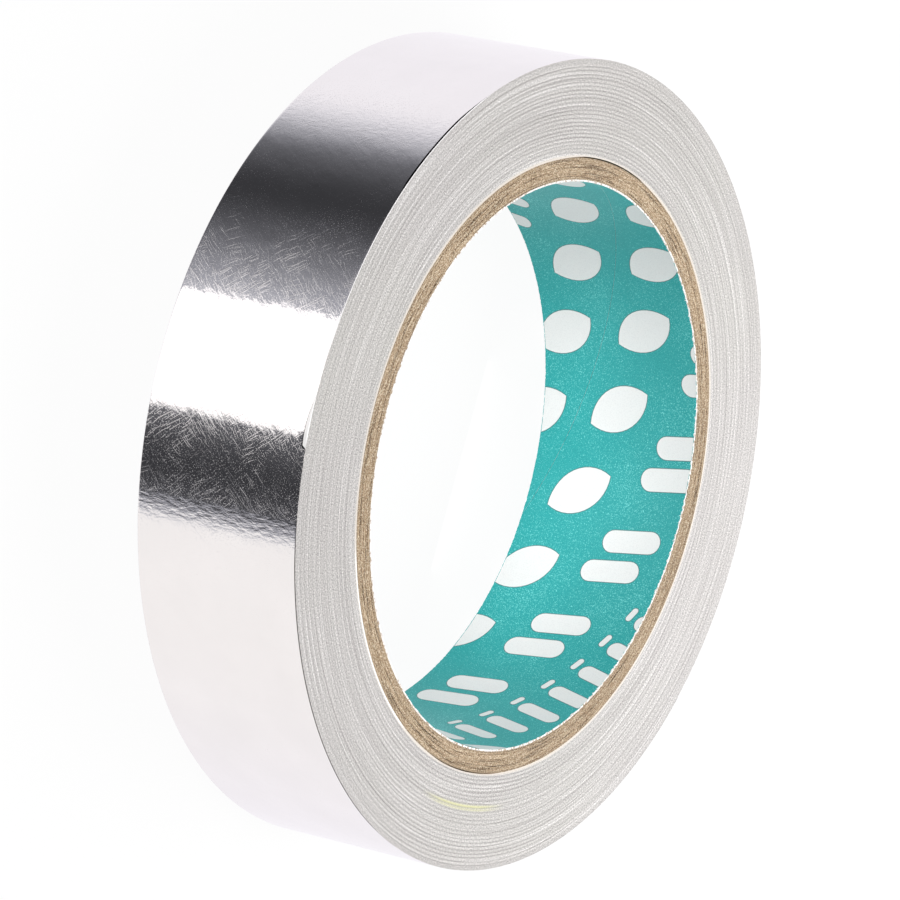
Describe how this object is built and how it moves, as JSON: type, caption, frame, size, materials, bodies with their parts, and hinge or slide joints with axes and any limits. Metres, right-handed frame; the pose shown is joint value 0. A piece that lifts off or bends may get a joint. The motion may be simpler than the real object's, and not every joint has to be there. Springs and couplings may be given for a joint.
{
  "type": "roll of aluminium foil tape",
  "caption": "Roll of aluminium foil tape, spirally wound on a kraft board core with a printed paper lining; it lies on its side and its bore fits a 3 inch spool or hub.",
  "frame": {"origin": "centre of the lower side face, where the roll's axis meets the surface that it lies on", "axes": "+Z along the roll's axis, up out of the side face that the picture shows; the picture's camera stands towards -Y"},
  "size_m": [0.1087, 0.1086, 0.025],
  "materials": {
    "foil_tape": "bright rolled aluminium foil outside, pale cut edges of foil, adhesive and liner on the side faces",
    "core_board": "raw cut edge of kraft board plies",
    "lining_paper": "smooth printed paper, teal",
    "print_white": "unprinted white fields of the paper"
  },
  "bodies": {
    "root": {"foil_tape": "foil_tape", "core_tube": "core_board", "core_lining": "lining_paper", "lining_print": "print_white"}
  },
  "joints": []
}
